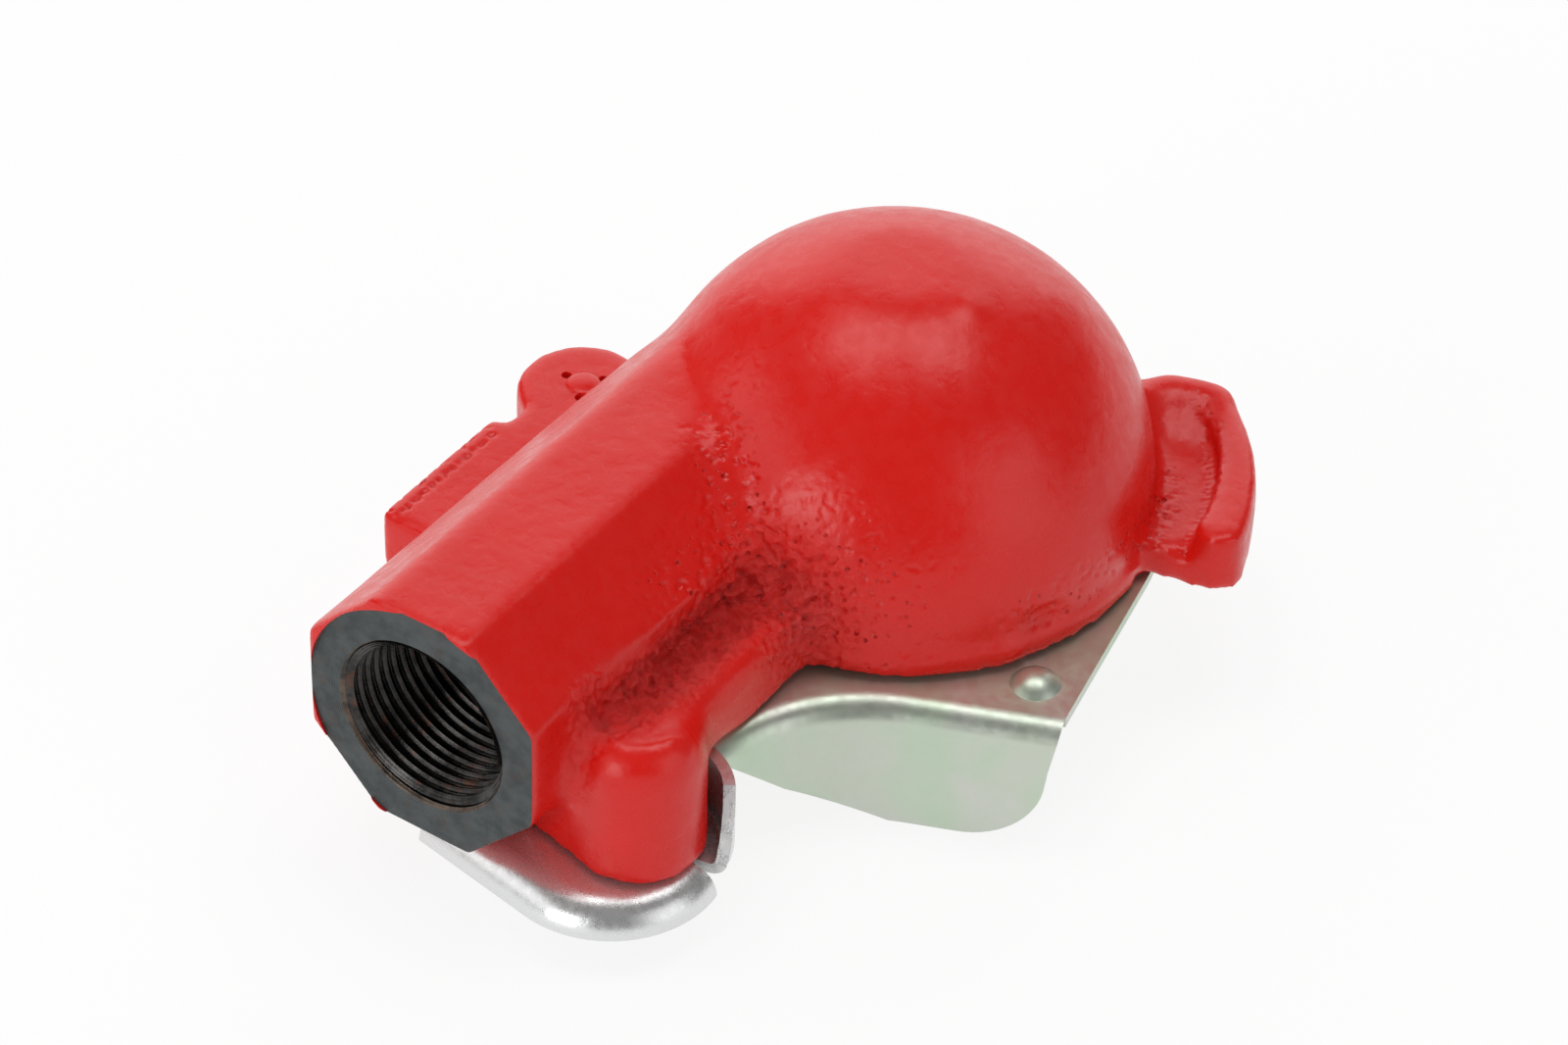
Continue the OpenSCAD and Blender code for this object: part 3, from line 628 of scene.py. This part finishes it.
def relief(tree, height, depth, under=None):
    """A fine relief of some depth in millimetres, over another one."""
    inputs = {"Height": height, "Distance": depth * MM, "Strength": 1.0}
    if under is not None:
        inputs["Normal"] = under
    return put(tree, "Bump", inputs).outputs["Normal"]


def join(tree, shader, **sockets):
    """Links or sets the shader's inputs by their names."""
    for key, value in sockets.items():
        name = key.replace("_", " ").title().replace("Ior", "IOR")
        if isinstance(value, bpy.types.NodeSocket):
            tree.links.new(value, shader.inputs[name])
        else:
            shader.inputs[name].default_value = value


def color(r, g, b):
    """Linear colour from display values of 0 to 255."""
    def linear(v):
        v /= 255
        return v / 12.92 if v <= 0.04045 else ((v + 0.055) / 1.055) ** 2.4
    return (linear(r), linear(g), linear(b), 1.0)


def paint():
    """Glossy red paint, lumpy on the coarse bank and broken by pinholes, with painted shade darkening its
    pinholes and hollows.
    """
    made, tree, shader, place = start("red_paint")
    coarse = put(tree, "Attribute", attribute_name="coarse").outputs["Fac"]
    pins = put(tree, "Attribute", attribute_name="pins").outputs["Fac"]
    bent = put(tree, "NewGeometry").outputs["Pointiness"]
    broad = speckle(tree, place, 0.09, 3)
    peel = speckle(tree, place, 0.5, 2)
    grit = speckle(tree, place, 2.4, 4, 0.65)
    lumps = speckle(tree, place, 1.6, 4, 0.72)
    cells = put(tree, "TexVoronoi", {"Vector": place, "Scale": 0.75, "Randomness": 1.0}).outputs["Distance"]
    patchy = ramp(tree, speckle(tree, place, 0.23, 2), 0.38, 0.58)
    holes = math_node(tree, "MULTIPLY", ramp(tree, cells, 0.24, 0.08), patchy)
    holes = math_node(tree, "MULTIPLY", holes, ramp(tree, pins, 0.1, 0.8, 0.0, 0.8))
    # Painted shade: the paint is darkened where the surface is hollow, in creases, pits and inner corners
    painted_shade_in_hollows = ramp(tree, bent, 0.47, 0.38)
    base = blend_colors(tree, broad, color(204, 21, 14), color(214, 27, 19))
    base = blend_colors(tree, ramp(tree, grit, 0.62, 0.85, 0, 0.12), base, color(176, 16, 12))
    # Painted shade: the pinholes are painted a darker red, as shade in their pits; their dents come from the
    # relief below
    base = blend_colors(tree, math_node(tree, "MULTIPLY", holes, 0.7), base, color(104, 12, 10))
    base = blend_colors(tree, math_node(tree, "MULTIPLY", painted_shade_in_hollows, 0.2), base, color(130, 12, 10))
    rough = math_node(tree, "SUBTRACT", ramp(tree, peel, 0.3, 0.7, 0.24, 0.34),
                      math_node(tree, "MULTIPLY", coarse, 0.14))
    normal = relief(tree, peel, 0.09)
    normal = relief(tree, grit, 0.02, normal)
    normal = relief(tree, math_node(tree, "MULTIPLY", lumps, coarse), 0.8, normal)
    normal = relief(tree, math_node(tree, "SUBTRACT", 1.0, holes), 0.25, normal)
    join(tree, shader, base_color=base, roughness=rough, normal=normal,
         specular_ior_level=ramp(tree, coarse, 0.2, 1.0, 0.36, 0.8))
    return made


def zinc():
    """Bright zinc on the cover: white at the pivot plate, greenish on the sheet."""
    made, tree, shader, place = start("zinc_sheet")
    fine = speckle(tree, place, 5.5, 4, 0.7)
    mid = speckle(tree, place, 1.1, 3)
    along = put(tree, "SeparateXYZ", {0: place}).outputs["Y"]
    sheet = ramp(tree, along, PIVOT_Y + 6, PIVOT_Y + 14)
    tint = blend_colors(tree, ramp(tree, speckle(tree, place, 0.07, 2), 0.35, 0.65),
                        color(189, 207, 184), color(200, 207, 194))
    tint = blend_colors(tree, ramp(tree, speckle(tree, place, 0.13, 2), 0.5, 0.7, 0, 0.4), tint,
                        color(206, 205, 202))
    base = blend_colors(tree, sheet, color(224, 225, 225), tint)
    wear = math_node(tree, "MULTIPLY", ramp(tree, fine, 0.55, 0.85, 0, 0.35),
                     ramp(tree, sheet, 0, 1, 1.0, 0.25))
    base = blend_colors(tree, wear, base, color(150, 152, 152))
    rough = math_node(tree, "ADD", ramp(tree, mid, 0.3, 0.7, 0.24, 0.33), ramp(tree, sheet, 0, 1, 0.0, 0.10))
    normal = relief(tree, mid, 0.02)
    normal = relief(tree, math_node(tree, "MULTIPLY", fine, ramp(tree, sheet, 0, 1, 1.0, 0.3)), 0.016, normal)
    join(tree, shader, base_color=base, roughness=rough, normal=normal, metallic=0.76)
    return made


def turned(name, dark, light, rust, low_rough, high_rough):
    """Machined metal round the port's axis, with fine turning marks and some rust."""
    made, tree, shader, place = start(name)
    split = put(tree, "SeparateXYZ", {0: place})
    x = math_node(tree, "SUBTRACT", split.outputs[0], NECK_X)
    z = math_node(tree, "SUBTRACT", split.outputs[2], NECK_Z)
    radius = math_node(tree, "SQRT", math_node(tree, "ADD", math_node(tree, "MULTIPLY", x, x),
                                               math_node(tree, "MULTIPLY", z, z)), 0.0)
    lines = math_node(tree, "SINE", math_node(tree, "MULTIPLY", radius, 18.0), 0.0)
    cloud = speckle(tree, place, 0.5, 4, 0.6)
    fine = speckle(tree, place, 4.0, 3, 0.6)
    base = blend_colors(tree, ramp(tree, cloud, 0.3, 0.7), dark, light)
    base = blend_colors(tree, ramp(tree, fine, 0.55, 0.8, 0, 0.4), base, dark)
    base = blend_colors(tree, ramp(tree, speckle(tree, place, 0.35, 5, 0.7), 0.52, 0.68, 0, rust), base,
                        color(104, 58, 36))
    rough = ramp(tree, cloud, 0.3, 0.7, low_rough, high_rough)
    normal = relief(tree, lines, 0.008)
    normal = relief(tree, fine, 0.02, normal)
    join(tree, shader, base_color=base, roughness=rough, normal=normal, metallic=0.75)
    return made


def metal(name, dark, light, low_rough, high_rough):
    """Plain steel with slight clouds and specks."""
    made, tree, shader, place = start(name)
    cloud = speckle(tree, place, 0.8, 3)
    fine = speckle(tree, place, 6.0, 3, 0.6)
    base = blend_colors(tree, ramp(tree, cloud, 0.3, 0.7), dark, light)
    base = blend_colors(tree, ramp(tree, fine, 0.6, 0.85, 0, 0.3), base, dark)
    join(tree, shader, base_color=base, roughness=ramp(tree, fine, 0.3, 0.7, low_rough, high_rough),
         normal=relief(tree, fine, 0.01), metallic=1.0)
    return made


def rubber():
    """The seal's matt black rubber."""
    made, tree, shader, place = start("seal_rubber")
    cloud = speckle(tree, place, 0.4, 3)
    fine = speckle(tree, place, 3.5, 3)
    base = blend_colors(tree, cloud, color(26, 26, 27), color(40, 40, 41))
    join(tree, shader, base_color=base, roughness=ramp(tree, fine, 0.3, 0.7, 0.55, 0.75),
         normal=relief(tree, fine, 0.02))
    return made


def iron():
    """The bare inside of the casting."""
    made, tree, shader, place = start("bare_iron")
    cloud = speckle(tree, place, 0.25, 4, 0.6)
    fine = speckle(tree, place, 1.8, 4, 0.7)
    base = blend_colors(tree, ramp(tree, cloud, 0.35, 0.65), color(62, 58, 56), color(96, 86, 80))
    base = blend_colors(tree, ramp(tree, speckle(tree, place, 0.12, 3), 0.5, 0.65), base, color(120, 24, 26))
    join(tree, shader, base_color=base, roughness=ramp(tree, fine, 0.3, 0.7, 0.5, 0.75),
         normal=relief(tree, fine, 0.15), metallic=0.3)
    return made


RED = paint()
ZINC = zinc()
FACE = turned("port_face", color(58, 63, 64), color(84, 88, 88), 0.14, 0.38, 0.55)
# The port's bore: nearly black as painted shade deep in the port, with some real rust
PAINTED_BORE_SHADE = turned("port_bore_painted_shade", color(7, 7, 7), color(18, 17, 16), 0.25, 0.4, 0.55)
THREAD = turned("port_thread_metal", color(30, 30, 30), color(74, 71, 69), 0.45, 0.2, 0.32)
MOUTH = turned("port_mouth", color(48, 46, 45), color(110, 94, 82), 0.8, 0.26, 0.4)
IRON = iron()
RUBBER = rubber()
PLATED = metal("plated_steel", color(176, 178, 178), color(206, 208, 206), 0.26, 0.4)
SPRING = metal("spring_steel", color(120, 121, 123), color(160, 161, 163), 0.25, 0.4)
BALL = metal("bearing_steel", color(205, 206, 208), color(224, 225, 226), 0.08, 0.16)


def face_rows(mesh, field):
    """The faces' centres or normals, as rows."""
    rows = np.zeros(len(mesh.polygons) * 3)
    mesh.polygons.foreach_get(field, rows)
    return rows.reshape(-1, 3)


def face_finishes(mesh):
    """Which finish each face of the casting has: a face belongs to a bore when its centre is on the wall. The
    port's bore gets the near-black material of painted shade.
    """
    centres = face_rows(mesh, "center") / MM
    x, y, z = centres.T
    close, near = 0.02, 0.05
    finish = np.full(len(centres), PAINTED, dtype=np.int32)
    finish[(np.abs(y - SPOT_Y) < 0.03) & (face_rows(mesh, "normal")[:, 1] < -0.9)] = SPOT_FACED
    in_port = np.hypot(x - NECK_X, z - NECK_Z) < PORT_MOUTH_R + close
    # The port's bore takes the near-black material, painted shade deep in the port
    finish[in_port & (y > SPOT_Y + close) & (y < SHADED_BORE_END)] = SHADED_BORE
    finish[(finish == SHADED_BORE) & (y < SPOT_Y + PORT_MOUTH_R - PORT_R)] = CHAMFERED

    bare = (dome_gap(centres) < CAVITY_R - DOME_R + 2 * near) & (z > SEAL_DEPTH - near)
    pocket_r = np.where(z > SEAL_DEPTH / 2 - near, FLANGE_R, SEAL_R)
    bare |= (np.hypot(x, y) < pocket_r + close) & (z < CAVITY_FLOOR + near)
    bare |= (np.hypot(x - EAR_X, y - EAR_Y) < BALL_BORE + near) & (z < PLUG_BOTTOM + near)
    bare |= (np.hypot(x - PIVOT_X, y - PIVOT_Y) < PIN_R + near) & (z < PIN_TOP + near)
    finish[bare & (finish == PAINTED)] = BARE
    return finish


def dress(piece, material):
    """Gives a piece one material."""
    piece.data.materials.clear()
    piece.data.materials.append(material)


# Pieces

skin = cast_skin()
machine(skin)
skin.data.materials.clear()
for material in (RED, FACE, PAINTED_BORE_SHADE, IRON, MOUTH):
    skin.data.materials.append(material)
skin_place = points(skin.data)
for name, zone in (("coarse", coarse_zone), ("pins", pin_zone)):
    layer = skin.data.attributes.new(name, "FLOAT", "POINT")
    layer.data.foreach_set("value", zone(skin_place).astype(np.float32))
skin.data.polygons.foreach_set("material_index", face_finishes(skin.data))
smooth(skin, 40)
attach(skin, "head")
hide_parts("body")

ridge = thread()
dress(ridge, THREAD)
smooth(ridge, 25)
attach(ridge, "head")

cap = plug()
dress(cap, RED)
smooth(cap, 35)
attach(cap, "head")
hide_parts("detent_plug")

cover = softened("cover", "cover_sheet", width=0.3, angle=30)
dress(cover, ZINC)
smooth(cover, 30)
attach(cover, "cover")
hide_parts("cover")

# Each coil: its node, its name, and the bodies at its lower and upper ends, which are listed but not used;
# the coil is a copy of the node
for node, name, below, above in (("cover_spring", "cover_coil", "head", "cover"),
                                 ("detent_spring", "detent_coil", "detent", "head")):
    coil = joined_copy(node, name)
    dress(coil, SPRING)
    smooth(coil, 40)
    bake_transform(coil)
    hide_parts(node)

for node, material in (("seal_ring", RUBBER), ("pivot_pin", PLATED), ("spring_washer", PLATED),
                       ("detent_ball", BALL)):
    dress(nodes[node], material)

# Camera, floor and light

CAMERA_AT = Vector((313.68, -486.40, 486.13)) * MM
CAMERA_AXES = ((0.8179, 0.5750, 0.0213), (-0.3849, 0.5193, 0.7630), (0.4277, -0.6323, 0.6460))
CAMERA_LENS, SENSOR_WIDTH = 146.76, 36
lens = bpy.data.cameras.new("camera")
lens.lens = CAMERA_LENS
lens.sensor_width = SENSOR_WIDTH
camera = bpy.data.objects.new("camera", lens)
scene.collection.objects.link(camera)
camera.rotation_mode = "QUATERNION"
camera.rotation_quaternion = Matrix(CAMERA_AXES).transposed().to_quaternion()
camera.location = CAMERA_AT
scene.camera = camera

FLOOR_SIZE, FLOOR_GLOW = 6.0, 0.86


def floor_look():
    """White to the eye and in reflections, with the object's shadow on it; clear from below."""
    made, tree, shader, _ = start("floor")
    join(tree, shader, base_color=(0.9, 0.9, 0.9, 1), roughness=0.9, specular_ior_level=0.0)
    path = put(tree, "LightPath")
    seen = math_node(tree, "MAXIMUM", path.outputs["Is Camera Ray"], path.outputs["Is Glossy Ray"])
    seen = math_node(tree, "MAXIMUM", seen, path.outputs["Is Transmission Ray"])
    white = put(tree, "Emission", {"Color": (1, 1, 1, 1), "Strength": 1.0})
    clear = put(tree, "BsdfTransparent")
    share = math_node(tree, "MULTIPLY", seen, FLOOR_GLOW)
    top_side = put(tree, "MixShader", {0: share, 1: shader.outputs[0], 2: white.outputs[0]})
    behind = put(tree, "NewGeometry").outputs["Backfacing"]
    both = put(tree, "MixShader", {0: behind, 1: top_side.outputs[0], 2: clear.outputs[0]})
    tree.links.new(both.outputs[0], tree.nodes["Material Output"].inputs["Surface"])
    return made


half, floor_z = FLOOR_SIZE / 2, cad_box[0][2]
floor_mesh = bpy.data.meshes.new("floor")
floor_mesh.from_pydata([(-half, -half, floor_z), (half, -half, floor_z), (half, half, floor_z),
                        (-half, half, floor_z)], [], [(0, 1, 2, 3)])
floor = link("floor", floor_mesh)
dress(floor, floor_look())

# The room: even light from all sides, darker in reflections
ROOM_LIGHT, ROOM_MIRRORED = 0.34, 0.10
world = bpy.data.worlds.new("studio")
world.use_nodes = True
room = world.node_tree.nodes["Background"]
room.inputs["Color"].default_value = (1, 1, 1, 1)
mirrored = put(world.node_tree, "LightPath").outputs["Is Glossy Ray"]
level = put(world.node_tree, "MapRange", {"Value": mirrored, "To Min": ROOM_LIGHT, "To Max": ROOM_MIRRORED})
world.node_tree.links.new(level.outputs["Result"], room.inputs["Strength"])
scene.world = world


# Softboxes: name, place, width and height in metres, and watts
LIGHTS_AIM = (-0.005, -0.02, 0.01)
SOFTBOXES = (
    ("top_right_light", (0.13, 0.22, 0.95), 0.42, 0.42, 1.9),
    ("top_left_light", (-0.26, -0.03, 0.95), 0.42, 0.42, 1.9),
    ("back_light", (-0.62, 0.92, 0.48), 1.7, 1.0, 7.6),
    ("right_light", (1.0, -0.05, 0.25), 0.7, 0.9, 2.5),
    ("left_light", (-0.75, -0.62, 0.40), 0.9, 0.6, 2.2),
    ("front_light", (-0.09, -1.0, 0.22), 0.40, 0.50, 3.0),
)
for name, place, width, height, power in SOFTBOXES:
    data = bpy.data.lights.new(name, "AREA")
    data.shape = "RECTANGLE"
    data.size, data.size_y, data.energy = width, height, power
    lamp = bpy.data.objects.new(name, data)
    scene.collection.objects.link(lamp)
    lamp.location = place
    lamp.rotation_mode = "QUATERNION"
    lamp.rotation_quaternion = (Vector(LIGHTS_AIM) - Vector(place)).to_track_quat("-Z", "Y")

scene.view_settings.view_transform = "Standard"
